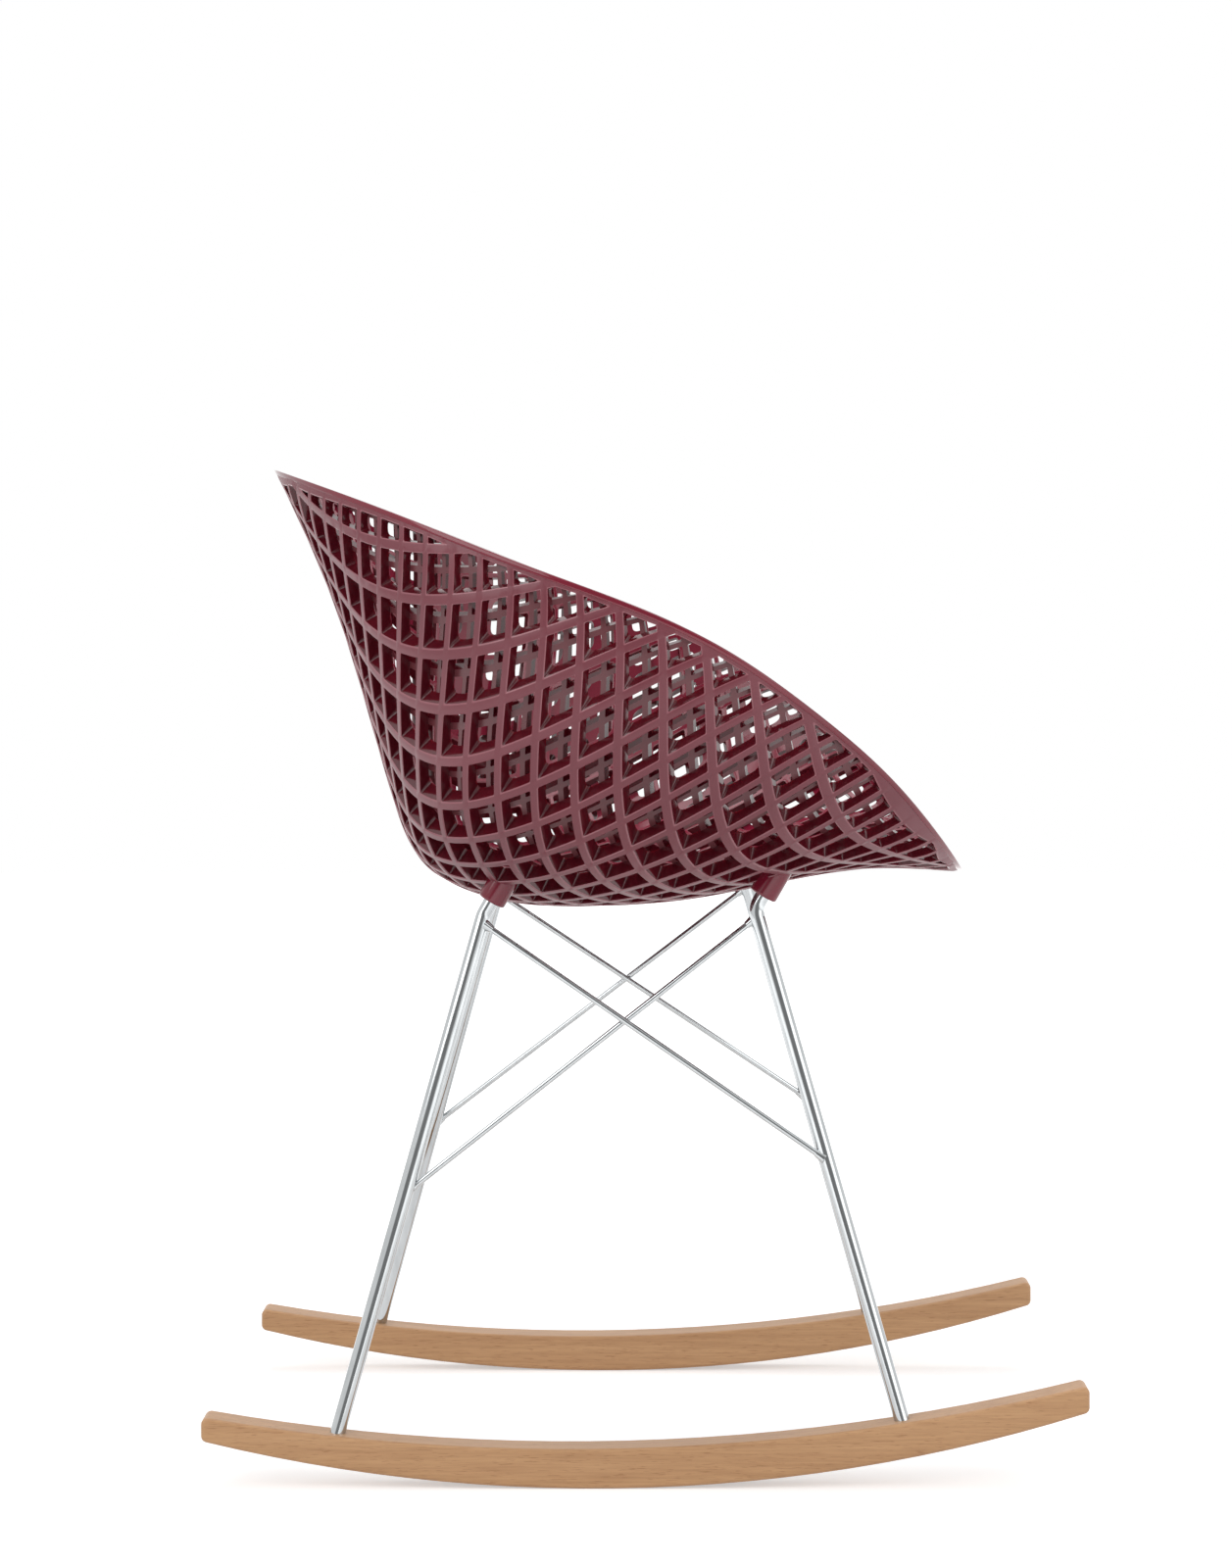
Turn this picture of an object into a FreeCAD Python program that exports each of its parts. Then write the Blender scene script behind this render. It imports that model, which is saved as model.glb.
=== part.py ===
import FreeCAD, Part
import math
import os

# A moulded bucket shell with a double lattice, on four bent rods and two wooden runners.
# Frame in millimetres: +X is the way the chair faces, +Y the sitter's left, +Z up.
# The origin is on the floor, below the middle of the runners.

os.makedirs("parts", exist_ok=True)
doc = FreeCAD.newDocument("rocking_chair")
V = FreeCAD.Vector

# Driving sizes.
sheet = doc.addObject("Spreadsheet::Sheet", "sizes")
SIZES = [
    ("shellHalfLength", 332.0),
    ("shellHalfWidth", 307.5),
    ("shellTilt", 30.0),
    ("shellHeight", 681.0),
    ("wallLift", 20.0),
    ("wallInset", 9.0),
    ("rimBand", 8.0),
    ("latticePitch", 17.08),
    ("outerRib", 7.0),
    ("innerRib", 4.6),
    ("bossDiameter", 23.0),
    ("rodDiameter", 12.0),
    ("rodPlug", 24.0),
    ("rodBend", 18.0),
    ("braceDiameter", 5.0),
    ("trackHalf", 207.0),
    ("rockerLength", 690.0),
    ("rockerWidth", 30.0),
    ("rockerHeight", 31.0),
    ("rockerRadius", 1282.0),
    ("rockerNose", 5.0),
    ("rockerRounding", 3.0),
    ("rollCentre", -40.0),
    ("footSink", 12.0),
    ("screwDiameter", 5.0),
    ("screwLength", 16.0),
    ("headDiameter", 9.0),
    ("plugDiameter", 12.0),
    ("setScrewDiameter", 4.0),
]
for row, (alias, value) in enumerate(SIZES, start=1):
    sheet.set("A%d" % row, alias)
    sheet.set("B%d" % row, str(value))
    sheet.setAlias("B%d" % row, alias)
doc.recompute()


def size(alias):
    return float(sheet.get(alias))


HALF_L = size("shellHalfLength")
HALF_W = size("shellHalfWidth")
TILT = math.radians(size("shellTilt"))
LIFT = size("shellHeight")
K = HALF_L / 332.0

# The bowl frame: U runs along the rim chord to the front, W along the mould's pull, up the bowl.
AX_U = V(math.cos(TILT), 0, -math.sin(TILT))
AX_W = V(math.sin(TILT), 0, math.cos(TILT))
BOWL = V(5.0, 0, LIFT)


class Curve:
    """Natural cubic through a few stations."""

    def __init__(self, stations, scale):
        self.x = [p[0] * scale for p in stations]
        self.y = [p[1] * scale for p in stations]
        n = len(self.x)
        step = [self.x[k + 1] - self.x[k] for k in range(n - 1)]
        slope = [(self.y[k + 1] - self.y[k]) / step[k] for k in range(n - 1)]
        diag = [1.0] * n
        rhs = [0.0] * n
        upper = [0.0] * n
        for k in range(1, n - 1):
            diag[k] = 2 * (step[k - 1] + step[k]) - step[k - 1] * upper[k - 1]
            upper[k] = step[k] / diag[k]
            rhs[k] = (6 * (slope[k] - slope[k - 1]) - step[k - 1] * rhs[k - 1]) / diag[k]
        self.m = [0.0] * n
        for k in range(n - 2, 0, -1):
            self.m[k] = rhs[k] - upper[k] * self.m[k + 1]

    def __call__(self, x):
        k = 0
        while k < len(self.x) - 2 and x > self.x[k + 1]:
            k += 1
        h = self.x[k + 1] - self.x[k]
        a = (self.x[k + 1] - x) / h
        b = (x - self.x[k]) / h
        bend = (a ** 3 - a) * self.m[k] + (b ** 3 - b) * self.m[k + 1]
        return a * self.y[k] + b * self.y[k + 1] + bend * h * h / 6


# The keel is the shell's lowest line on the mid-plane, the rim its top edge, both from back to front.
keel = Curve([(-330, -55.2), (-230, -129), (-113, -238.5), (-66, -274), (-25, -278.5), (27, -264.5),
              (78, -237), (146, -190.5), (207, -138), (253, -101), (296, -76.3), (334, -58.6)], K)
rim = Curve([(-332, -55.2), (-200, -32.2), (-100, -17.4), (-48, -8.4), (60, 2.9), (146, -4),
             (223, -18.5), (289, -40.6), (332, -58)], K)

SECTION_STEPS = 48


def section(xi):
    """Half section across the bowl at one station: half width, height and running length."""
    x = xi * HALF_L
    half = HALF_W * math.sqrt(max(0.0, 1 - xi * xi))
    low = keel(x)
    high = rim(x)
    power = (2.323 + 0.618 * xi) * (1 - xi * xi) + 2.011 * xi * xi
    ys = []
    zs = []
    run = []
    for k in range(SECTION_STEPS + 1):
        angle = math.pi / 2 * k / SECTION_STEPS
        ys.append(half * math.sin(angle) ** (2 / power))
        zs.append(high - (high - low) * max(0.0, math.cos(angle)) ** (2 / power))
        run.append(0.0 if k == 0 else run[-1] + math.hypot(ys[k] - ys[k - 1], zs[k] - zs[k - 1]))
    return ys, zs, run


def along(sec, length):
    ys, zs, run = sec
    k = 1
    while k < SECTION_STEPS and run[k] < length:
        k += 1
    t = (length - run[k - 1]) / max(1e-9, run[k] - run[k - 1])
    return ys[k - 1] + t * (ys[k] - ys[k - 1]), zs[k - 1] + t * (zs[k] - zs[k - 1])


INSET = size("wallInset") / HALF_W
WALL_LIFT = size("wallLift")


def lay(xi, t, y, z, depth):
    """Bowl point to frame point. Depth 0 is the outer face, 1 the inner face, t the share of the section."""
    edge = xi * xi + t * t * (1 - xi * xi)
    shrink = 1 - depth * INSET * (1 + 0.4 * xi * xi)
    rise = depth * WALL_LIFT * (1 - 0.45 * xi * xi) * (1 - edge ** 4)
    return BOWL + AX_U * (xi * HALF_L * shrink) + V(0, y * shrink, 0) + AX_W * (z + rise)


# Lattice law: even steps along the bowl, and steps that widen up the side walls.
PITCH = size("latticePitch")
MID_STEP = 10.169
REACH = 18.455


def ring(xi):
    return REACH * math.sqrt(max(0.0, 1 - xi * xi)) * (1 + 0.105 * xi)


def station(s, q):
    a = (s - MID_STEP) * PITCH * K / HALF_L
    return a + (0.0543 + 0.1086 * a) * (q / 18.0) ** 2


def on_shell(s, q, depth):
    xi = max(-0.999, min(0.999, station(s, q)))
    t = min(1.0, abs(q) / ring(xi))
    m = 3.925 + 1.340 * xi
    e = 3.484 + 0.736 * xi
    sec = section(xi)
    share = t ** m * (1 + e * (1 - t))
    step = PITCH * K
    length = step * ring(xi) * t + (sec[2][-1] - step * ring(xi)) * share
    y, z = along(sec, max(0.0, min(sec[2][-1], length)))
    return lay(xi, t, -y if q > 0 else y, z, depth)


def inside(s, q, margin):
    """How far a lattice point lies inside the rim, in lattice steps."""
    xi = station(s, q)
    if abs(xi) >= 0.999:
        return -1.0
    side = ring(xi) - abs(q)
    ends = (1 - abs(xi)) * HALF_L / (PITCH * K)
    r = math.hypot((s - MID_STEP) / 19.44, q / REACH)
    return min(side, ends + 2.0, (1 - r) * 18.6) - margin


def skin(depth):
    """One face of the wall as a smooth patch over the disc of the rim."""
    count = 15
    rows = []
    for a in range(count):
        line = []
        for b in range(count):
            ta = math.sin(math.pi / 2 * (2 * a / (count - 1) - 1))
            tb = math.sin(math.pi / 2 * (2 * b / (count - 1) - 1))
            dx = ta * math.sqrt(1 - tb * tb / 2)
            dy = tb * math.sqrt(1 - ta * ta / 2)
            xi = (dx + dy) / math.sqrt(2)
            across = (dx - dy) / math.sqrt(2)
            wide = math.sqrt(max(0.0, 1 - xi * xi))
            t = min(1.0, abs(across) / wide) if wide > 1e-6 else 1.0
            xi = max(-1.0, min(1.0, xi))
            sec = section(xi)
            y, z = along(sec, sec[2][-1] * t)
            line.append(lay(xi, t, -y if across > 0 else y, z, depth))
        rows.append(line)
    surface = Part.BSplineSurface()
    surface.interpolate(rows)
    return surface


def clip(corners, margin):
    """Keep the part of a cell that lies inside the rim band."""
    depth = [inside(s, q, margin) for s, q in corners]
    kept = []
    for k in range(len(corners)):
        n = (k + 1) % len(corners)
        if depth[k] >= 0:
            kept.append(corners[k])
        if (depth[k] >= 0) != (depth[n] >= 0):
            f = depth[k] / (depth[k] - depth[n])
            kept.append((corners[k][0] + f * (corners[n][0] - corners[k][0]),
                         corners[k][1] + f * (corners[n][1] - corners[k][1])))
    return kept


def spread(corners):
    total = 0.0
    for k in range(len(corners)):
        n = (k + 1) % len(corners)
        total += corners[k][0] * corners[n][1] - corners[n][0] * corners[k][1]
    return abs(total) / 2


def pocket(corners, start, end):
    """A prism through the wall, along the line that joins its two faces at the cell's middle."""
    s = sum(c[0] for c in corners) / len(corners)
    q = sum(c[1] for c in corners) / len(corners)
    middle = on_shell(s, q, 0.0)
    way = on_shell(s, q, 1.0) - middle
    here = (start + end) / 2
    outline = [on_shell(c[0], c[1], here) for c in corners]
    flat = (outline[2] - outline[0]).cross(outline[-1] - outline[1])
    flat.normalize()
    base = middle + way * start
    points = []
    for p in outline:
        points.append(p + way * ((base - p).dot(flat) / way.dot(flat)))
    face = Part.Face(Part.makePolygon(points + [points[0]]))
    return face.extrude(way * (end - start))


def pockets(offset, half_rib, start, end, margin):
    found = []
    for i in range(-15, 22):
        for j in range(-15, 22):
            lo_i = i + offset + half_rib
            hi_i = i + 1 + offset - half_rib
            lo_j = j + offset + half_rib
            hi_j = j + 1 + offset - half_rib
            cell = []
            for a, b in ((lo_i, lo_j), (hi_i, lo_j), (hi_i, hi_j), (lo_i, hi_j)):
                cell.append((a + b, a - b))
            if max(inside(s, q, margin) for s, q in cell) < 0:
                continue
            cell = clip(cell, margin)
            if len(cell) < 3 or spread(cell) < 0.25:
                continue
            found.append(pocket(cell, start, end))
    return found


def wall_at(u, y, depth):
    """Height along the pull of one wall face over a bowl point."""
    xi = u / HALF_L
    for _ in range(3):
        shrink = 1 - depth * INSET * (1 + 0.4 * xi * xi)
        xi = u / HALF_L / shrink
    ys, zs, run = section(xi)
    k = 1
    while k < SECTION_STEPS and ys[k] < abs(y) / shrink:
        k += 1
    f = (abs(y) / shrink - ys[k - 1]) / (ys[k] - ys[k - 1])
    t = (run[k - 1] + f * (run[k] - run[k - 1])) / run[-1]
    z = zs[k - 1] + f * (zs[k] - zs[k - 1])
    return (lay(xi, t, y / shrink, z, depth) - BOWL).dot(AX_W)


# Leg sockets: lower end of each boss, front and rear, on the sitter's right and left.
ROD = size("rodDiameter") / 2
BOSS = size("bossDiameter") / 2
TRACK = size("trackHalf")
SOCKETS = {"front": V(93.4, 145, 454.1), "rear": V(-123.3, 145, 449.5)}
FEET = {"front": 200.0, "rear": -240.0}
SIDES = {"right": -1, "left": 1}
TOP_SHIFT = -58.0
TOP_RADIUS = 1.3 * size("rockerRadius")
FIT = 0.1
CAP = 4.0


def runner_top(x):
    drop = math.sqrt(TOP_RADIUS ** 2 - (x - TOP_SHIFT) ** 2)
    return size("rockerHeight") - 0.2 + TOP_RADIUS - drop


def unit(v):
    return v / v.Length


class Leg:
    """Straight run from the runner, one bend, and a plug along the mould's pull."""

    def __init__(self, end, side):
        sign = SIDES[side]
        low = SOCKETS[end]
        self.mouth = V(low.x, sign * low.y, low.z)
        self.bend = self.mouth - AX_W * 12
        self.foot = V(FEET[end], sign * TRACK, runner_top(FEET[end]))
        self.way = unit(self.bend - self.foot)
        self.heel = self.foot - self.way * size("footSink")
        self.tip = self.mouth + AX_W * size("rodPlug")

    def at_height(self, z):
        return self.foot + self.way * ((z - self.foot.z) / self.way.z)

    def path(self):
        turn = math.acos(max(-1.0, min(1.0, self.way.dot(AX_W))))
        back = size("rodBend") * math.tan(turn / 2)
        start = self.bend - self.way * back
        stop = self.bend + AX_W * back
        inner = unit(AX_W - self.way)
        centre = self.bend + inner * (size("rodBend") / math.cos(turn / 2))
        middle = centre - inner * size("rodBend")
        arc = Part.Arc(start, middle, stop).toShape()
        return Part.Wire([Part.makeLine(self.heel, start), arc, Part.makeLine(stop, self.tip)])


def rod(path, radius):
    first = path.Edges[0]
    start = first.Vertexes[0].Point
    way = first.Vertexes[1].Point - start
    ring_wire = Part.Wire(Part.makeCircle(radius, start, way))
    return path.makePipeShell([ring_wire], True, True)


LEGS = {}
for end in ("front", "rear"):
    for side in SIDES:
        LEGS[end, side] = Leg(end, side)


def boss(end, side):
    """Round socket boss along the mould's pull, from its mouth up into the wall."""
    leg = LEGS[end, side]
    post = Part.makeCylinder(BOSS, size("rodPlug") + CAP, leg.mouth, AX_W)
    lip = [e for e in post.Edges if e.Closed and (e.CenterOfMass - leg.mouth).Length < 1]
    return post.makeFillet(2.0, lip)


def spare(tools):
    """Keep lattice cuts out of the bosses."""
    kept = []
    for tool in tools:
        for (end, side), leg in LEGS.items():
            away = tool.BoundBox.Center - leg.mouth
            if (away - AX_W * away.dot(AX_W)).Length < BOSS + 30:
                core = Part.makeCylinder(BOSS, size("rodPlug") + CAP + 20, leg.mouth - AX_W * 20, AX_W)
                tool = tool.cut(core)
        kept.extend(tool.Solids)
    return kept


def socket_bore(end, side):
    leg = LEGS[end, side]
    return Part.makeCylinder(ROD + FIT, size("rodPlug"), leg.mouth, AX_W)


def set_screw_bore(end, side):
    leg = LEGS[end, side]
    inward = V(0, -SIDES[side], 0)
    return Part.makeCylinder(size("setScrewDiameter") / 2, BOSS + 1, leg.mouth + AX_W * 10, inward)


def make_shell():
    outer = skin(0.0).toShape()
    inner = skin(1.0).toShape()
    edge_faces = []
    for k in range(4):
        edge_faces.append(Part.makeRuledSurface(outer.Edges[k], inner.Edges[k]))
    closed = Part.makeShell([outer, inner] + edge_faces)
    closed.sewShape()
    body = Part.makeSolid(closed)
    if body.Volume < 0:
        body.reverse()
    cell = 2 * PITCH * K / math.sqrt(2)
    band = size("rimBand") / (PITCH * K)
    bores = []
    for end, side in LEGS:
        body = body.fuse(boss(end, side))
        bores.append(socket_bore(end, side))
        bores.append(set_screw_bore(end, side))
    outside = pockets(0.0, size("outerRib") / cell / 2.8, -0.5, 0.62, band)
    within = pockets(0.5, size("innerRib") / cell / 2.8, 0.55, 1.6, band)
    body = body.cut(spare(outside) + bores)
    return body.cut(spare(within))


NODES = []


def node(name, shape):
    """A named piece with a computed shape."""
    piece = doc.addObject("Part::Feature", name)
    piece.Label = name
    piece.Shape = shape
    piece.Placement = FreeCAD.Placement()
    NODES.append(piece)
    return piece


def facing(way):
    return FreeCAD.Rotation(V(0, 0, 1), way)


def cylinder(name, radius, length, base, way):
    """A bound cylinder: radius and length are sheet expressions."""
    piece = doc.addObject("Part::Cylinder", name)
    piece.setExpression("Radius", radius)
    piece.setExpression("Height", length)
    piece.Placement = FreeCAD.Placement(base, facing(way))
    return piece


def collect(kind, name, pieces):
    group = doc.addObject(kind, name)
    group.Shapes = pieces
    return group


# Legs, with a threaded bore in each heel.
HEAD_DEPTH = 6.0
rods = {}
for (end, side), leg in LEGS.items():
    bar = rod(leg.path(), ROD)
    thread = Part.makeCylinder(size("screwDiameter") / 2, size("screwLength"), leg.heel, leg.way)
    rods[end, side] = bar.cut(thread)

# Braces: two thin rods on each side, crossing and touching at the middle, with a weld at each end.
THIN = size("braceDiameter") / 2
WELD = 2.0
CROSSING_GAP = 0.06
FALLING_ENDS = {"rear": 433.0, "front": 247.5}
RISING_ENDS = {"rear": 222.0, "front": 437.5}
welds = []
braces = {}


def weld(point, other, leg):
    """Cone of weld metal round a brace, where it meets a leg."""
    way = unit(other - point)
    cone = Part.makeCone(THIN + WELD, THIN + 0.5, ROD + WELD, point + way * (ROD / 2), way)
    bar = Part.makeCylinder(THIN, 4 * ROD, point, way)
    upright = Part.makeCylinder(ROD, (leg.bend - leg.heel).Length, leg.heel, leg.way)
    solids = cone.cut(bar).cut(upright).Solids
    return max(solids, key=lambda solid: solid.Volume)


for side in SIDES:
    front = LEGS["front", side]
    rear = LEGS["rear", side]
    across = unit((front.foot - rear.foot).cross(rear.way))
    lines = {
        "falling": (FALLING_ENDS, across * (THIN + CROSSING_GAP / 2)),
        "rising": (RISING_ENDS, across * -(THIN + CROSSING_GAP / 2)),
    }
    for slope, (heights, aside) in lines.items():
        start = rear.at_height(heights["rear"]) + aside
        stop = front.at_height(heights["front"]) + aside
        bar = Part.makeCylinder(THIN, (stop - start).Length, start, stop - start)
        braces[side, slope] = bar.cut([rods["front", side], rods["rear", side]])
        welds.append(weld(start, stop, rear))
        welds.append(weld(stop, start, front))

for (end, side), shape in rods.items():
    node("leg_%s_%s" % (end, side), shape)
for (side, slope), shape in braces.items():
    node("brace_%s_%s" % (side, slope), shape)
node("weld_beads", Part.makeCompound(welds))

# Runners: a blank between two arcs, rounded, then bored for the leg heels.
SPAN = size("rockerLength")
ROLL = size("rollCentre")
plug_shapes = []
for side, sign in SIDES.items():
    base_y = sign * TRACK
    blank = doc.addObject("Part::Box", "blank_" + side)
    blank.setExpression("Length", "sizes.rockerLength")
    blank.setExpression("Width", "sizes.rockerWidth")
    blank.Height = 120
    blank.Placement.Base = V(-SPAN / 2, base_y - size("rockerWidth") / 2, -1)
    below = doc.addObject("Part::Cylinder", "roll_arc_" + side)
    below.setExpression("Radius", "sizes.rockerRadius")
    below.setExpression("Height", "sizes.rockerWidth")
    lift = V(ROLL, base_y + size("rockerWidth") / 2, size("rockerRadius"))
    below.Placement = FreeCAD.Placement(lift, facing(V(0, -1, 0)))
    above = doc.addObject("Part::Cylinder", "top_arc_" + side)
    above.Radius = TOP_RADIUS
    above.setExpression("Height", "sizes.rockerWidth + 2")
    lift = V(TOP_SHIFT, base_y + size("rockerWidth") / 2 + 1, runner_top(TOP_SHIFT) + TOP_RADIUS)
    above.Placement = FreeCAD.Placement(lift, facing(V(0, -1, 0)))
    bar = collect("Part::MultiCommon", "runner_bar_" + side, [blank, below])
    slab = doc.addObject("Part::Cut", "runner_slab_" + side)
    slab.Base = bar
    slab.Tool = above
    doc.recompute()
    ends = []
    for k, edge in enumerate(slab.Shape.Edges):
        straight = edge.Length < size("rockerWidth") + 0.5 and abs(edge.tangentAt(edge.FirstParameter).y) > 0.99
        if straight:
            ends.append((k + 1, size("rockerNose"), size("rockerNose")))
    nosed = doc.addObject("Part::Fillet", "runner_nosed_" + side)
    nosed.Base = slab
    nosed.Edges = ends
    doc.recompute()
    along_edges = []
    for k, edge in enumerate(nosed.Shape.Edges):
        if abs(edge.tangentAt((edge.FirstParameter + edge.LastParameter) / 2).y) < 0.5:
            along_edges.append((k + 1, size("rockerRounding"), size("rockerRounding")))
    rounded = doc.addObject("Part::Fillet", "runner_rounded_" + side)
    rounded.Base = nosed
    rounded.Edges = along_edges
    doc.recompute()
    tools = []
    for end in ("front", "rear"):
        leg = LEGS[end, side]
        seat = leg.heel - leg.way * HEAD_DEPTH
        tag = end + "_" + side
        tools.append(cylinder("heel_bore_" + tag, "sizes.rodDiameter / 2 + 0.1", "60 mm", leg.heel, leg.way))
        tools.append(cylinder("screw_bore_" + tag, "sizes.screwDiameter / 2 + 0.3", "20 mm",
                              seat - leg.way, leg.way))
        counter = cylinder("counterbore_" + tag, "sizes.plugDiameter / 2", "40 mm", seat, leg.way * -1)
        tools.append(counter)
        start = seat - leg.way * 5.2
        stopper = Part.makeCylinder(size("plugDiameter") / 2, 40, start, leg.way * -1)
        plug_shapes.append(stopper.common(rounded.Shape))
    runner = doc.addObject("Part::Cut", "rocker_" + side)
    runner.Label = "rocker_" + side
    runner.Base = rounded
    runner.Tool = collect("Part::MultiFuse", "runner_tools_" + side, tools)
    NODES.append(runner)

# Fasteners: washers under the screw heads, and set screws in the bosses.
screws = []
washers = []
locks = []
for (end, side), leg in LEGS.items():
    tag = end + "_" + side
    seat = leg.heel - leg.way * HEAD_DEPTH
    down = leg.way * -1
    shank = cylinder("screw_shank_" + tag, "sizes.screwDiameter / 2", "sizes.screwLength + 5",
                     seat + down * 1.0, leg.way)
    head = cylinder("screw_head_" + tag, "sizes.headDiameter / 2", "3 mm", seat + down * 1.0, down)
    key = doc.addObject("Part::Prism", "screw_key_" + tag)
    key.Polygon = 6
    key.Circumradius = 2.3
    key.Height = 2
    key.Placement = FreeCAD.Placement(seat + down * 4.0, facing(leg.way))
    solid = doc.addObject("Part::Cut", "screw_" + tag)
    solid.Base = collect("Part::MultiFuse", "screw_blank_" + tag, [shank, head])
    solid.Tool = key
    screws.append(solid)
    ring_out = cylinder("washer_disc_" + tag, "sizes.plugDiameter / 2 - 0.3", "1 mm", seat, down)
    ring_in = cylinder("washer_hole_" + tag, "sizes.screwDiameter / 2 + 0.1", "1 mm", seat, down)
    washer = doc.addObject("Part::Cut", "washer_" + tag)
    washer.Base = ring_out
    washer.Tool = ring_in
    washers.append(washer)
    inward = V(0, -SIDES[side], 0)
    start = leg.mouth + AX_W * 10 + inward * ROD
    locks.append(cylinder("set_screw_" + tag, "sizes.setScrewDiameter / 2",
                          "(sizes.bossDiameter - sizes.rodDiameter) / 2 - 0.5", start, inward))
doc.recompute()
node("rocker_plugs", Part.makeCompound(plug_shapes))
node("rocker_screws", Part.makeCompound([s.Shape for s in screws]))
node("rocker_washers", Part.makeCompound([w.Shape for w in washers]))
node("socket_screws", Part.makeCompound([s.Shape for s in locks]))
node("seat_shell", make_shell())
doc.recompute()

for piece in doc.Objects:
    if "Invalid" in piece.State or "Error" in piece.State:
        raise RuntimeError(piece.Name + " did not compute: " + str(piece.State))
for piece in NODES:
    if piece.Shape.isNull() or not piece.Shape.isValid():
        raise RuntimeError(piece.Label + " has no sound shape")
for piece in NODES:
    piece.Shape.exportStep("parts/" + piece.Label + ".step")
    print(piece.Label, len(piece.Shape.Solids), round(piece.Shape.Volume / 1000, 2), piece.Shape.BoundBox)
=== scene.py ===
import math

import bmesh
import bpy
import numpy as np
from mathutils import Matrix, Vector
from mathutils.geometry import delaunay_2d_cdt

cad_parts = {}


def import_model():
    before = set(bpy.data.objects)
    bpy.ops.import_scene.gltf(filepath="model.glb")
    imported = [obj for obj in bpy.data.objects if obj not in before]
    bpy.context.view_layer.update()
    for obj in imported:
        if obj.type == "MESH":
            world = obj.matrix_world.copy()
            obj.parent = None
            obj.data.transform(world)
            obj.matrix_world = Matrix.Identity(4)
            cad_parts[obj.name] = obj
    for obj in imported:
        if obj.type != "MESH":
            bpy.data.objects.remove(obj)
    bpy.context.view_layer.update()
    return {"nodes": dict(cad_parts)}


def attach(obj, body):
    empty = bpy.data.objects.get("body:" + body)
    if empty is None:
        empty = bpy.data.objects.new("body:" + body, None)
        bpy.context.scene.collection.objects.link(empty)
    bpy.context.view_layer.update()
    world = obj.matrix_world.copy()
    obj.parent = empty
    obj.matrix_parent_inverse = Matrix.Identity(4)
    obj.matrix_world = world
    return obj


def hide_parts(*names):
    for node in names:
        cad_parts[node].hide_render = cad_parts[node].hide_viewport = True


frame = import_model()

# Metres. +X is the way the chair faces, +Y the sitter's left, +Z up.
SCENE = bpy.context.scene

# Bowl of the shell: U runs along the rim chord to the front, W along the mould's pull.
HALF_L = 0.332
HALF_W = 0.3075
TILT = math.radians(30.0)
BOWL = np.array([0.005, 0.0, 0.681])
AX_U = np.array([math.cos(TILT), 0.0, -math.sin(TILT)])
AX_V = np.array([0.0, 1.0, 0.0])
AX_W = np.array([math.sin(TILT), 0.0, math.cos(TILT)])
WALL_LIFT = 0.020
WALL_INSET = 0.009 / HALF_W
RIM_BAND = 0.0075

# Roundness of the bowl's cross sections: their power at the middle, its growth to the front, and at the tips.
SECTION_POWER = 2.323
SECTION_POWER_SLOPE = 0.618
TIP_POWER = 2.011

# Lattice: steps of the diagonal grid, in the s (back to front) and q (across) directions.
PITCH = 0.01708
MID_STEP = 10.169
REACH = 18.455
REACH_SLOPE = 0.105
HALF_STEPS = HALF_L / PITCH
OUTER_HALF_RIB = 0.1035
INNER_HALF_RIB = 0.068
CELLS = range(-15, 22)
LEAST_WINDOW = 0.06

# A row across the bowl bows forward by these shares of the half length at BOW_AT steps from the middle.
BOW = 0.0543
BOW_SLOPE = 0.1086
BOW_AT = 18.0

# How the steps of a row stretch towards the rim: power and extra share, each with its growth to the front.
STRETCH_POWER = 3.925
STRETCH_POWER_SLOPE = 1.340
STRETCH_EXTRA = 3.484
STRETCH_EXTRA_SLOPE = 0.736

SHARP_ANGLE = math.radians(32.0)
RIM_POINTS = 420
# Material slots of the lattice: outer face, pocket walls with painted shade, inside, rib chamfers with a painted
# highlight, inner layer's front with painted shade.
FACE, SHADED_WALL, BACK, HIGHLIT_EDGE, SHADED_CROSS = range(5)


def natural_cubic(stations):
    """Smooth curve through stations given in millimetres."""
    x, y = np.array(stations).T / 1000.0
    count = len(x)
    step = np.diff(x)
    slope = np.diff(y) / step
    system = np.eye(count)
    right = np.zeros(count)
    for k in range(1, count - 1):
        system[k, k - 1:k + 2] = step[k - 1], 2 * (step[k - 1] + step[k]), step[k]
        right[k] = 6 * (slope[k] - slope[k - 1])
    bend = np.linalg.solve(system, right)

    def height(v):
        k = np.clip(np.searchsorted(x, v) - 1, 0, count - 2)
        a = (x[k + 1] - v) / step[k]
        b = (v - x[k]) / step[k]
        curl = (a ** 3 - a) * bend[k] + (b ** 3 - b) * bend[k + 1]
        return a * y[k] + b * y[k + 1] + curl * step[k] ** 2 / 6

    return height


keel = natural_cubic([(-330, -55.2), (-230, -129), (-113, -238.5), (-66, -274), (-25, -278.5), (27, -264.5),
                      (78, -237), (146, -190.5), (207, -138), (253, -101), (296, -76.3), (334, -58.6)])
rim = natural_cubic([(-332, -55.2), (-200, -32.2), (-100, -17.4), (-48, -8.4), (60, 2.9), (146, -4),
                     (223, -18.5), (289, -40.6), (332, -58)])


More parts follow.
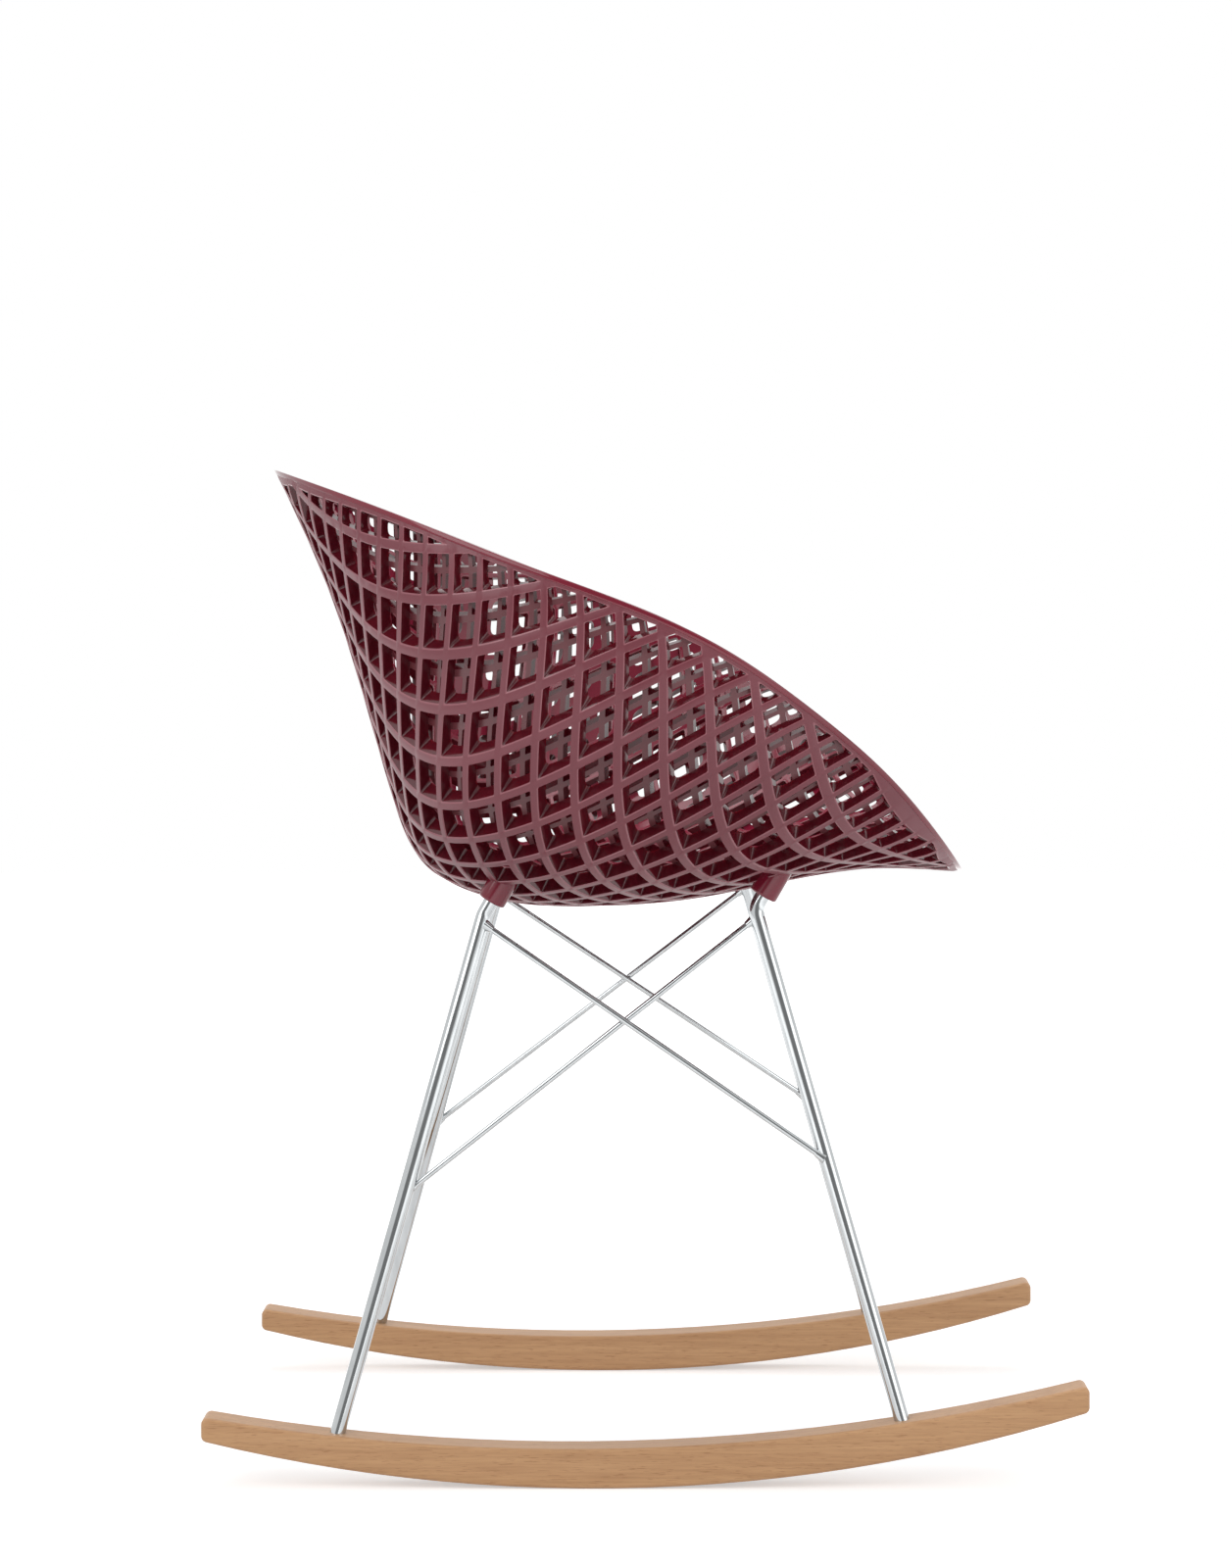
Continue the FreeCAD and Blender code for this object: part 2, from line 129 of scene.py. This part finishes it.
class Sections:
    """Half sections across the bowl, by station and by share of their running length."""

    def __init__(self, stations=600, shares=200):
        self.xi = np.linspace(-0.9995, 0.9995, stations)
        angle = np.linspace(0, math.pi / 2, 160)
        half = HALF_W * np.sqrt(1 - self.xi ** 2)
        low = keel(self.xi * HALF_L)
        high = rim(self.xi * HALF_L)
        power = (SECTION_POWER + SECTION_POWER_SLOPE * self.xi) * (1 - self.xi ** 2) + TIP_POWER * self.xi ** 2
        bend = (2 / power)[:, None]
        y = half[:, None] * np.sin(angle) ** bend
        z = high[:, None] - (high - low)[:, None] * np.maximum(np.cos(angle), 0.0) ** bend
        run = np.cumsum(np.hypot(np.diff(y), np.diff(z)), axis=1)
        run = np.hstack([np.zeros((stations, 1)), run])
        self.total = run[:, -1]
        share = np.linspace(0, 1, shares)
        self.y = np.array([np.interp(share * r[-1], r, v) for r, v in zip(run, y)])
        self.z = np.array([np.interp(share * r[-1], r, v) for r, v in zip(run, z)])

    def length(self, xi):
        return np.interp(xi, self.xi, self.total)

    def point(self, xi, share):
        a = (xi - self.xi[0]) / (self.xi[1] - self.xi[0])
        b = np.clip(share, 0, 1) * (self.y.shape[1] - 1)
        k = np.clip(a.astype(int), 0, self.y.shape[0] - 2)
        n = np.clip(b.astype(int), 0, self.y.shape[1] - 2)
        a = a - k
        b = b - n
        found = []
        for grid in (self.y, self.z):
            near = grid[k, n] * (1 - b) + grid[k, n + 1] * b
            far = grid[k + 1, n] * (1 - b) + grid[k + 1, n + 1] * b
            found.append(near * (1 - a) + far * a)
        return found


SECTIONS = Sections()


def lay(xi, t, y, z, depth):
    """Bowl point to frame point. Depth 0 is the outer face, 1 the inner face, t the share of the section."""
    edge = xi ** 2 + t ** 2 * (1 - xi ** 2)
    shrink = 1 - depth * WALL_INSET * (1 + 0.4 * xi ** 2)
    rise = depth * WALL_LIFT * (1 - 0.45 * xi ** 2) * (1 - edge ** 4)
    return (BOWL + AX_U * (xi * HALF_L * shrink)[:, None] + AX_V * (y * shrink)[:, None]
            + AX_W * (z + rise)[:, None])


def ring(xi):
    """Steps from the middle to the rim at a station."""
    return REACH * np.sqrt(np.maximum(0.0, 1 - xi ** 2)) * (1 + REACH_SLOPE * xi)


def station(s, q):
    """Station of a lattice point along the bowl, from -1 at the back to 1 at the front."""
    a = (s - MID_STEP) / HALF_STEPS
    return a + (BOW + BOW_SLOPE * a) * (q / BOW_AT) ** 2


def on_shell(points, depth):
    """Lattice points (s, q) to frame points at one depth of the wall."""
    points = np.asarray(points, float)
    s, q = points[:, 0], points[:, 1]
    xi = np.clip(station(s, q), -0.999, 0.999)
    reach = ring(xi)
    t = np.clip(np.abs(q) / reach, 0, 1)
    power = STRETCH_POWER + STRETCH_POWER_SLOPE * xi
    extra = STRETCH_EXTRA + STRETCH_EXTRA_SLOPE * xi
    share = t ** power * (1 + extra * (1 - t))
    whole = SECTIONS.length(xi)
    length = PITCH * reach * t + (whole - PITCH * reach) * share
    y, z = SECTIONS.point(xi, length / whole)
    return lay(xi, t, np.where(q > 0, -y, y), z, np.full(len(s), float(depth)))


def on_rim(count):
    """Lattice points round the rim, evenly spaced in angle."""
    angle = np.linspace(0, 2 * math.pi, count, endpoint=False)
    xi = 0.9988 * np.cos(angle)
    q = ring(xi) * np.sign(np.sin(angle))
    wide = (q / BOW_AT) ** 2
    s = MID_STEP + (xi - BOW * wide) / (1 + BOW_SLOPE * wide) * HALF_STEPS
    return np.stack([s, q], axis=1)


RIM_CURVE = on_shell(on_rim(720), 0.0)


def inside(points, margin):
    """How far lattice points lie inside the rim band, in metres."""
    points = np.asarray(points, float)
    s, q = points[:, 0], points[:, 1]
    xi = station(s, q)
    flat = np.minimum(ring(np.clip(xi, -1, 1)) - np.abs(q), (1 - np.abs(xi)) * HALF_STEPS)
    place = on_shell(points, 0.0)
    apart = np.array([np.linalg.norm(RIM_CURVE - spot, axis=1).min() for spot in place])
    return np.where(flat > 0, apart, flat * PITCH) - margin


def clip(corners, depth):
    """Keep the part of a window that lies inside the rim band."""
    kept = []
    for k, (s, q) in enumerate(corners):
        n = (k + 1) % len(corners)
        if depth[k] >= 0:
            kept.append((s, q))
        if (depth[k] >= 0) != (depth[n] >= 0):
            f = depth[k] / (depth[k] - depth[n])
            kept.append((s + f * (corners[n][0] - s), q + f * (corners[n][1] - q)))
    return kept


def area(corners):
    total = 0.0
    for k, (a, b) in enumerate(corners):
        c, d = corners[(k + 1) % len(corners)]
        total += a * d - c * b
    return total / 2


def windows(offset, half_rib):
    """Corners of every window of one lattice layer, in lattice steps."""
    cells = []
    for i in CELLS:
        for j in CELLS:
            lo_i, hi_i = i + offset + half_rib, i + 1 + offset - half_rib
            lo_j, hi_j = j + offset + half_rib, j + 1 + offset - half_rib
            cells.append([(a + b, a - b) for a, b in ((lo_i, lo_j), (hi_i, lo_j), (hi_i, hi_j), (lo_i, hi_j))])
    depths = inside(np.array(cells).reshape(-1, 2), RIM_BAND).reshape(-1, 4)
    found = []
    for cell, depth in zip(cells, depths):
        if depth.max() < 0:
            continue
        cell = clip(cell, depth)
        if len(cell) < 3 or abs(area(cell)) < LEAST_WINDOW:
            continue
        found.append(cell if area(cell) > 0 else cell[::-1])
    return found


def outline(corners, grow, radius, arc=5, side=3):
    """Window outline: sides moved out by grow, corners rounded, sides cut into short runs."""
    corners = np.array(corners)
    count = len(corners)
    way = np.roll(corners, -1, axis=0) - corners
    way /= np.linalg.norm(way, axis=1)[:, None]
    out = np.stack([way[:, 1], -way[:, 0]], axis=1)
    moved = []
    for k in range(count):
        base = corners[k - 1] + out[k - 1] * grow
        gap = corners[k] + out[k] * grow - base
        cross = way[k - 1][0] * way[k][1] - way[k - 1][1] * way[k][0]
        run = (gap[0] * way[k][1] - gap[1] * way[k][0]) / cross
        moved.append(base + way[k - 1] * run)
    moved = np.array(moved)
    span = np.linalg.norm(np.roll(moved, -1, axis=0) - moved, axis=1)
    most = 0.44
    cut = []
    for k in range(count):
        turn = math.acos(max(-1.0, min(1.0, float(way[k - 1] @ way[k]))))
        cut.append(min(radius * math.tan(turn / 2), most * span[k - 1], most * span[k]))
    bits = []
    for k in range(count):
        start = moved[k] - way[k - 1] * cut[k]
        stop = moved[k] + way[k] * cut[k]
        for n in range(arc + 1):
            f = n / arc
            bits.append(start * (1 - f) ** 2 + moved[k] * 2 * f * (1 - f) + stop * f ** 2)
        straight = span[k] - cut[k] - cut[(k + 1) % count]
        for n in range(1, side):
            bits.append(stop + way[k] * straight * n / side)
    return np.array(bits)


def fill(loops):
    """Triangles between the rim loop, which comes first, and the window loops."""
    points = np.vstack(loops)
    edges = []
    owner = []
    base = 0
    for number, loop in enumerate(loops):
        count = len(loop)
        edges.extend((base + k, base + (k + 1) % count) for k in range(count))
        owner.extend([number] * count)
        base += count
    verts, _, faces, source, _, _ = delaunay_2d_cdt([Vector(p) for p in points], edges, [], 1, 1e-7)
    origin = [ids[0] for ids in source]
    kept = []
    for face in faces:
        face = [origin[k] for k in face]
        loops_met = {owner[k] for k in face}
        if len(loops_met) == 1 and 0 not in loops_met:
            continue
        kept.append(face)
    return kept


def layer(name, offset, half_rib, levels, tones):
    """One perforated sheet of the wall: levels are (depth, grow, corner radius) from the outside in."""
    cells = windows(offset, half_rib)
    rim_loop = on_rim(RIM_POINTS)
    rings = [[outline(cell, grow, radius) for cell in cells] for _, grow, radius in levels]
    faces = fill([rim_loop] + rings[0])
    verts = []
    for (depth, _, _), loops in zip(levels, rings):
        verts.append(on_shell(np.vstack([rim_loop] + loops), depth))
    block = len(verts[0])
    last = block * (len(levels) - 1)
    polygons = [tuple(face) for face in faces]
    polygons += [tuple(last + k for k in face[::-1]) for face in faces]
    slots = [tones[0]] * len(faces) + [tones[-1]] * len(faces)
    sizes = [RIM_POINTS] + [len(loop) for loop in rings[0]]
    base = 0
    for count in sizes:
        for level in range(len(levels) - 1):
            near = level * block + base
            far = near + block
            for k in range(count):
                n = (k + 1) % count
                polygons.append((near + k, near + n, far + n, far + k))
                slots.append(tones[1 + level])
        base += count
    return make_mesh(name, np.vstack(verts), polygons, slots)


def make_mesh(name, verts, polygons, slots=None):
    """Closed mesh with its faces turned outwards, smooth but for its sharp edges."""
    mesh = bpy.data.meshes.new(name)
    mesh.from_pydata([tuple(v) for v in verts], [], polygons)
    if slots is not None:
        mesh.polygons.foreach_set("material_index", slots)
    mesh.polygons.foreach_set("use_smooth", [True] * len(mesh.polygons))
    mesh.update()
    work = bmesh.new()
    work.from_mesh(mesh)
    bmesh.ops.recalc_face_normals(work, faces=work.faces)
    work.to_mesh(mesh)
    work.free()
    mesh.set_sharp_from_angle(angle=SHARP_ANGLE)
    thing = bpy.data.objects.new(name, mesh)
    SCENE.collection.objects.link(thing)
    return thing


def rim_lip():
    """Rolled edge round the mouth: a glossy strip that stands proud of the band below, with a round top."""
    loop = on_rim(RIM_POINTS)
    outer = on_shell(loop, 0.0)
    inner = on_shell(loop, 1.0)
    middle = np.array([MID_STEP, 0.0])
    down = on_shell(middle + (loop - middle) * 0.975, 0.0) - outer
    down /= np.linalg.norm(down, axis=1)[:, None]
    across = inner - outer
    across /= np.linalg.norm(across, axis=1)[:, None]
    mm = 0.001
    # Millimetres across the wall and down from the rim.
    outside = [(0.6, 4.5), (0.0, 4.4), (-0.35, 4.2), (-0.5, 3.8), (-0.55, 2.4), (-0.5, 1.0), (-0.3, 0.35),
               (0.1, -0.05), (0.6, -0.25), (1.2, -0.3)]
    inner_edge = [(-1.2, -0.3), (-0.6, -0.25), (-0.1, -0.05), (0.3, 0.35), (0.45, 1.2), (0.4, 4.0), (0.0, 4.6),
                  (-0.8, 4.8)]
    rings = [outer + across * a * mm + down * b * mm for a, b in outside]
    rings += [inner + across * a * mm + down * b * mm for a, b in inner_edge]
    rings.append(outer + across * 2.2 * mm + down * 4.9 * mm)
    count = len(loop)
    polygons = []
    for r in range(len(rings)):
        up = (r + 1) % len(rings)
        for k in range(count):
            n = (k + 1) % count
            polygons.append((r * count + k, r * count + n, up * count + n, up * count + k))
    return make_mesh("rim_lip", np.vstack(rings), polygons)


def lathe(name, base, way, profile, count=64):
    """Turned piece: profile is (radius, height) pairs, from the axis round and back to it."""
    way = Vector(way).normalized()
    side = way.orthogonal().normalized()
    other = way.cross(side)
    verts = []
    for radius, height in profile:
        for k in range(count):
            angle = 2 * math.pi * k / count
            around = side * math.cos(angle) + other * math.sin(angle)
            verts.append(Vector(base) + way * height + around * radius)
    polygons = []
    for r in range(len(profile) - 1):
        for k in range(count):
            n = (k + 1) % count
            polygons.append((r * count + k, r * count + n, (r + 1) * count + n, (r + 1) * count + k))
    polygons.append(tuple(range(count))[::-1])
    polygons.append(tuple(range((len(profile) - 1) * count, len(profile) * count)))
    return make_mesh(name, verts, polygons)


# Leg sockets: lower end of each boss, front and rear, on the sitter's right and left.
SOCKETS = {"front": (0.0934, 0.145, 0.4541), "rear": (-0.1233, 0.145, 0.4495)}
BOSS_RADIUS = 0.0115
BOSS_LENGTH = 0.028
BOSS_ROUND = 0.002
BORE_RADIUS = 0.0062


def bosses():
    """Four round sockets with a rounded lower edge and a shallow open bore round the leg."""
    profile = [(BORE_RADIUS, 0.006), (BORE_RADIUS, 0.0008), (0.0068, 0.0001), (0.0090, 0.0)]
    for k in range(6):
        angle = math.pi / 2 * k / 5
        profile.append((BOSS_RADIUS - BOSS_ROUND + BOSS_ROUND * math.sin(angle),
                        BOSS_ROUND - BOSS_ROUND * math.cos(angle)))
    profile.append((BOSS_RADIUS, BOSS_LENGTH))
    profile.append((BORE_RADIUS, BOSS_LENGTH))
    made = []
    for end, (x, y, z) in SOCKETS.items():
        for side, sign in (("right", -1), ("left", 1)):
            made.append(lathe("boss_%s_%s" % (end, side), (x, sign * y, z), AX_W, profile))
    return made


class Material:
    """Small helper for node materials."""

    def __init__(self, name):
        self.material = bpy.data.materials.new(name)
        self.material.use_nodes = True
        self.tree = self.material.node_tree
        self.nodes = self.tree.nodes
        self.shader = self.nodes["Principled BSDF"]
        self.coords = self.add("ShaderNodeTexCoord").outputs["Object"]

    def add(self, kind, **values):
        made = self.nodes.new(kind)
        for key, value in values.items():
            if hasattr(made, key):
                setattr(made, key, value)
            else:
                made.inputs[key].default_value = value
        return made

    def link(self, a, b):
        self.tree.links.new(a, b)

    def set(self, **values):
        for key, value in values.items():
            self.shader.inputs[key.replace("_", " ")].default_value = value

    def noise(self, scale, detail=3.0, roughness=0.5, stretch=(1, 1, 1)):
        mapping = self.add("ShaderNodeMapping")
        mapping.inputs["Scale"].default_value = stretch
        self.link(self.coords, mapping.inputs["Vector"])
        made = self.add("ShaderNodeTexNoise", Scale=scale, Detail=detail, Roughness=roughness)
        self.link(mapping.outputs["Vector"], made.inputs["Vector"])
        return made.outputs["Fac"]

    def ramp(self, source, stops):
        made = self.add("ShaderNodeValToRGB")
        band = made.color_ramp
        while len(band.elements) < len(stops):
            band.elements.new(0.5)
        for element, (place, colour) in zip(band.elements, stops):
            element.position = place
            element.color = (*colour, 1.0)
        self.link(source, made.inputs["Fac"])
        return made.outputs["Color"]

    def span(self, source, low, high):
        made = self.add("ShaderNodeMapRange")
        made.inputs["To Min"].default_value = low
        made.inputs["To Max"].default_value = high
        self.link(source, made.inputs["Value"])
        return made.outputs["Result"]

    def mix(self, factor, a, b, blend="MIX"):
        made = self.add("ShaderNodeMix", data_type="RGBA", blend_type=blend)
        for socket, value in zip((made.inputs[0], made.inputs[6], made.inputs[7]), (factor, a, b)):
            if isinstance(value, bpy.types.NodeSocket):
                self.link(value, socket)
            elif isinstance(value, (int, float)):
                socket.default_value = value
            else:
                socket.default_value = (*value, 1.0)
        return made.outputs[2]

    def bump(self, source, strength, distance):
        made = self.add("ShaderNodeBump", Strength=strength, Distance=distance)
        self.link(source, made.inputs["Height"])
        self.link(made.outputs["Normal"], self.shader.inputs["Normal"])


def plastic(name, dark, light, rough_low, rough_high, bump):
    """Batch-dyed translucent plastic: slow colour drift between the two colours given, fine moulding texture; the
    darker wall and cross colours passed in carry painted shade, the lighter chamfer colour a painted highlight.
    """
    made = Material(name)
    cloud = made.noise(9.0, 3.0)
    made.link(made.ramp(cloud, [(0.3, dark), (0.7, light)]), made.shader.inputs["Base Color"])
    fine = made.noise(900.0, 2.0)
    made.link(made.span(made.noise(60.0, 3.0), rough_low, rough_high), made.shader.inputs["Roughness"])
    made.bump(fine, bump, 0.0001)
    made.set(IOR=1.5)
    return made


def shell_materials():
    """Materials of the lattice in slot order: outer face, pocket walls in painted shade, inside, rib chamfers
    with a painted highlight, and the inner layer's front in painted shade.
    """
    face = plastic("shell_face", (0.155, 0.029, 0.042), (0.188, 0.037, 0.053), 0.34, 0.44, 0.16)
    # Pocket walls: a darker copy of the face plastic, painted shade for the hollows between the ribs.
    wall = plastic("shell_wall_painted_shade", (0.088, 0.006, 0.012), (0.120, 0.009, 0.017), 0.10, 0.18, 0.03)
    wall.set(Subsurface_Weight=0.12, Subsurface_Radius=(0.010, 0.002, 0.002), Subsurface_Scale=1.0)
    back = plastic("shell_inside", (0.200, 0.010, 0.030), (0.255, 0.015, 0.042), 0.09, 0.16, 0.02)
    # Rib chamfers: a lighter copy of the face plastic, a painted highlight along the rib edges.
    edge = plastic("shell_edge_painted_highlight", (0.270, 0.085, 0.105), (0.320, 0.105, 0.125), 0.18, 0.28, 0.05)
    # Front of the inner layer: a darker, browner copy of the face plastic, painted shade for the layer behind the
    # outer ribs.
    cross = plastic("shell_cross_painted_shade", (0.120, 0.026, 0.033), (0.148, 0.033, 0.041), 0.24, 0.34, 0.08)
    return [made.material for made in (face, wall, back, edge, cross)]


def gloss_plastic():
    """Smoother plastic of the rim lip and the bosses."""
    return plastic("rim_gloss", (0.170, 0.009, 0.024), (0.215, 0.013, 0.032), 0.07, 0.14, 0.02).material


def chrome():
    """Bright plating with a faint haze drawn out along the rods."""
    made = Material("bright_plating")
    made.set(Metallic=1.0)
    haze = made.noise(140.0, 4.0, 0.6, (1, 1, 0.15))
    made.link(made.ramp(haze, [(0.3, (0.48, 0.50, 0.51)), (0.7, (0.57, 0.59, 0.60))]),
              made.shader.inputs["Base Color"])
    made.link(made.span(made.noise(300.0, 3.0, 0.5, (1, 1, 0.1)), 0.05, 0.11), made.shader.inputs["Roughness"])
    made.bump(made.noise(500.0, 2.0), 0.02, 0.0001)
    return made.material


def screw_steel():
    """Dull zinc plating."""
    made = Material("zinc_screw")
    made.set(Metallic=1.0)
    made.link(made.ramp(made.noise(700.0, 4.0), [(0.3, (0.50, 0.50, 0.52)), (0.7, (0.64, 0.64, 0.65))]),
              made.shader.inputs["Base Color"])
    made.link(made.span(made.noise(900.0, 3.0), 0.25, 0.42), made.shader.inputs["Roughness"])
    made.bump(made.noise(1500.0, 2.0), 0.06, 0.0001)
    return made.material


def wood():
    """Pale lacquered hardwood with long fine grain and short dark flecks along the runner."""
    made = Material("runner_beech")
    bands = made.noise(1.0, 4.0, 0.55, (7.0, 70.0, 150.0))
    grain = made.noise(1.0, 5.0, 0.6, (26.0, 420.0, 620.0))
    tone = made.ramp(bands, [(0.25, (0.500, 0.270, 0.125)), (0.55, (0.570, 0.322, 0.155)),
                             (0.8, (0.620, 0.362, 0.185))])
    lines = made.ramp(grain, [(0.35, (0.78, 0.72, 0.66)), (0.62, (1.0, 1.0, 1.0))])
    toned = made.mix(0.55, tone, lines, "MULTIPLY")
    fleck = made.noise(1.0, 2.0, 0.5, (95.0, 1300.0, 1300.0))
    pores = made.ramp(fleck, [(0.28, (0.62, 0.50, 0.40)), (0.40, (1.0, 1.0, 1.0))])
    made.link(made.mix(0.7, toned, pores, "MULTIPLY"), made.shader.inputs["Base Color"])
    made.link(made.span(grain, 0.38, 0.52), made.shader.inputs["Roughness"])
    made.bump(grain, 0.12, 0.0002)
    made.set(Coat_Weight=0.15, Coat_Roughness=0.25)
    return made.material


def dress_nodes():
    """Materials of the pieces that stay as they are."""
    plating = chrome()
    steel = screw_steel()
    timber = wood()
    for name, node in frame["nodes"].items():
        if name.startswith(("leg_", "brace_", "weld_")):
            chosen = plating
        elif name.startswith("rocker_") and name not in ("rocker_screws", "rocker_washers"):
            chosen = timber
        else:
            chosen = steel
        node.data.materials.clear()
        node.data.materials.append(chosen)


def build_shell():
    """Two lattice layers, the rim lip and the four bosses, in place of the plain shell."""
    tones = shell_materials()
    gloss = gloss_plastic()
    # The chamfer slot carries a painted highlight; the wall slots and the inner layer's front carry painted
    # shade.
    outer = layer("shell_outer_lattice", 0.0, OUTER_HALF_RIB,
                  [(0.0, 0.030, 0.04), (0.04, 0.0, 0.05), (0.30, -0.008, 0.16), (0.59, -0.015, 0.30)],
                  (FACE, HIGHLIT_EDGE, SHADED_WALL, SHADED_WALL, BACK))
    inner = layer("shell_inner_lattice", 0.5, INNER_HALF_RIB,
                  [(0.57, 0.0, 0.05), (0.60, 0.0, 0.05), (0.96, 0.0, 0.12), (1.0, 0.030, 0.14)],
                  (SHADED_CROSS, SHADED_WALL, SHADED_WALL, HIGHLIT_EDGE, BACK))
    for piece in (outer, inner):
        for material in tones:
            piece.data.materials.append(material)
    pieces = [outer, inner]
    for piece in [rim_lip()] + bosses():
        piece.data.materials.append(gloss)
        pieces.append(piece)
    for piece in pieces:
        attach(piece, "root")
        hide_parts("seat_shell")


def floor():
    """Pale studio floor: white to the camera where lit, darker in the chair's shadow."""
    half = 6.0
    mesh = bpy.data.meshes.new("studio_floor")
    mesh.from_pydata([(-half, -half, 0), (half, -half, 0), (half, half, 0), (-half, half, 0)], [], [(0, 1, 2, 3)])
    plane = bpy.data.objects.new("studio_floor", mesh)
    SCENE.collection.objects.link(plane)
    made = Material("studio_floor")
    made.set(Roughness=0.9, Specular_IOR_Level=0.1)
    tone = made.ramp(made.noise(0.8, 2.0), [(0.0, (0.80, 0.80, 0.80)), (1.0, (0.82, 0.82, 0.82))])
    made.link(tone, made.shader.inputs["Base Color"])
    paths = made.add("ShaderNodeLightPath")
    seen = made.add("ShaderNodeMath", operation="MAXIMUM")
    made.link(paths.outputs["Is Camera Ray"], seen.inputs[0])
    made.link(paths.outputs["Is Glossy Ray"], seen.inputs[1])
    glow = made.add("ShaderNodeEmission")
    apart = made.add("ShaderNodeVectorMath", operation="LENGTH")
    made.link(made.coords, apart.inputs[0])
    spread = made.add("ShaderNodeMapRange", interpolation_type="SMOOTHSTEP")
    made.link(apart.outputs["Value"], spread.inputs["Value"])
    for key, value in (("From Min", 0.7), ("From Max", 1.8), ("To Min", 0.46), ("To Max", 1.0)):
        spread.inputs[key].default_value = value
    lit = made.add("ShaderNodeMath", operation="MULTIPLY")
    made.link(spread.outputs["Result"], lit.inputs[1])
    made.link(seen.outputs[0], lit.inputs[0])
    made.link(lit.outputs[0], glow.inputs["Strength"])
    both = made.add("ShaderNodeAddShader")
    made.link(made.shader.outputs[0], both.inputs[0])
    made.link(glow.outputs[0], both.inputs[1])
    made.link(both.outputs[0], made.nodes["Material Output"].inputs["Surface"])
    mesh.materials.append(made.material)


def world():
    """White surround. Bright rods reflect the dim part of the studio that lies round the camera."""
    ambient = 0.52
    dimming = 0.72
    surround = bpy.data.worlds.new("studio")
    surround.use_nodes = True
    SCENE.world = surround
    tree = surround.node_tree
    nodes = tree.nodes

    def math_node(operation, a, b=None):
        made = nodes.new("ShaderNodeMath")
        made.operation = operation
        for socket, value in zip(made.inputs, (a, b)):
            if isinstance(value, bpy.types.NodeSocket):
                tree.links.new(value, socket)
            elif value is not None:
                socket.default_value = value
        return made.outputs[0]

    def smooth(value, start, stop, low, high):
        made = nodes.new("ShaderNodeMapRange")
        made.interpolation_type = "SMOOTHSTEP"
        tree.links.new(value, made.inputs["Value"])
        for key, number in (("From Min", start), ("From Max", stop), ("To Min", low), ("To Max", high)):
            made.inputs[key].default_value = number
        return made.outputs["Result"]

    coords = nodes.new("ShaderNodeTexCoord")
    split = nodes.new("ShaderNodeSeparateXYZ")
    tree.links.new(coords.outputs["Generated"], split.inputs[0])
    turn = math_node("ARCTAN2", split.outputs["X"], math_node("MULTIPLY", split.outputs["Y"], -1.0))
    off = math_node("ABSOLUTE", math_node("SUBTRACT", turn, math.radians(-4.0)))
    beside = smooth(off, math.radians(20.0), math.radians(38.0), 1.0, 0.0)
    above_floor = smooth(split.outputs["Z"], -0.42, -0.12, 0.0, 1.0)
    below_top = smooth(split.outputs["Z"], 0.62, 0.92, 1.0, 0.0)
    dim = math_node("MULTIPLY", math_node("MULTIPLY", beside, above_floor), below_top)
    paths = nodes.new("ShaderNodeLightPath")
    seen = math_node("MAXIMUM", paths.outputs["Is Camera Ray"], paths.outputs["Is Transmission Ray"])
    shown = math_node("SUBTRACT", 1.0, math_node("MULTIPLY", dim, dimming))
    added = math_node("MULTIPLY", paths.outputs["Is Glossy Ray"], math_node("SUBTRACT", shown, ambient))
    strength = math_node("MAXIMUM", seen, math_node("ADD", added, ambient))
    background = nodes["Background"]
    background.inputs["Color"].default_value = (1, 1, 1, 1)
    tree.links.new(strength, background.inputs["Strength"])


def lamp(name, place, target, size, power):
    """Soft rectangular lamp that faces its target."""
    data = bpy.data.lights.new(name, "AREA")
    data.shape = "RECTANGLE"
    data.size, data.size_y = size
    data.energy = power
    thing = bpy.data.objects.new(name, data)
    thing.location = place
    thing.rotation_euler = (Vector(target) - Vector(place)).to_track_quat("-Z", "Y").to_euler()
    SCENE.collection.objects.link(thing)


def lights():
    middle = (0.0, 0.0, 0.45)
    lamp("key_softbox", (-2.0, -2.2, 2.4), middle, (2.4, 2.4), 42.0)
    lamp("fill_softbox", (2.4, -1.9, 1.5), middle, (2.0, 2.2), 20.0)
    lamp("top_softbox", (0.0, 0.4, 2.8), middle, (2.2, 2.2), 26.0)


def camera():
    """The photograph's view: level, from the sitter's right side."""
    image_height = 1600.0
    image_width = 1257.0
    pixels_per_slope = 3490.0
    axis_x, axis_y = 665.0, 624.0
    sensor = 36.0
    data = bpy.data.cameras.new("photo_camera")
    data.sensor_fit = "VERTICAL"
    data.sensor_height = sensor
    data.lens = pixels_per_slope / image_height * sensor
    data.shift_x = (image_width / 2 - axis_x) / image_height
    data.shift_y = (axis_y - image_height / 2) / image_height
    thing = bpy.data.objects.new("photo_camera", data)
    thing.location = (0.005, -2.875, 0.681)
    thing.rotation_euler = (math.pi / 2, 0, 0)
    SCENE.collection.objects.link(thing)
    SCENE.camera = thing


SCENE.view_settings.view_transform = "Standard"
camera()
build_shell()
dress_nodes()
floor()
world()
lights()
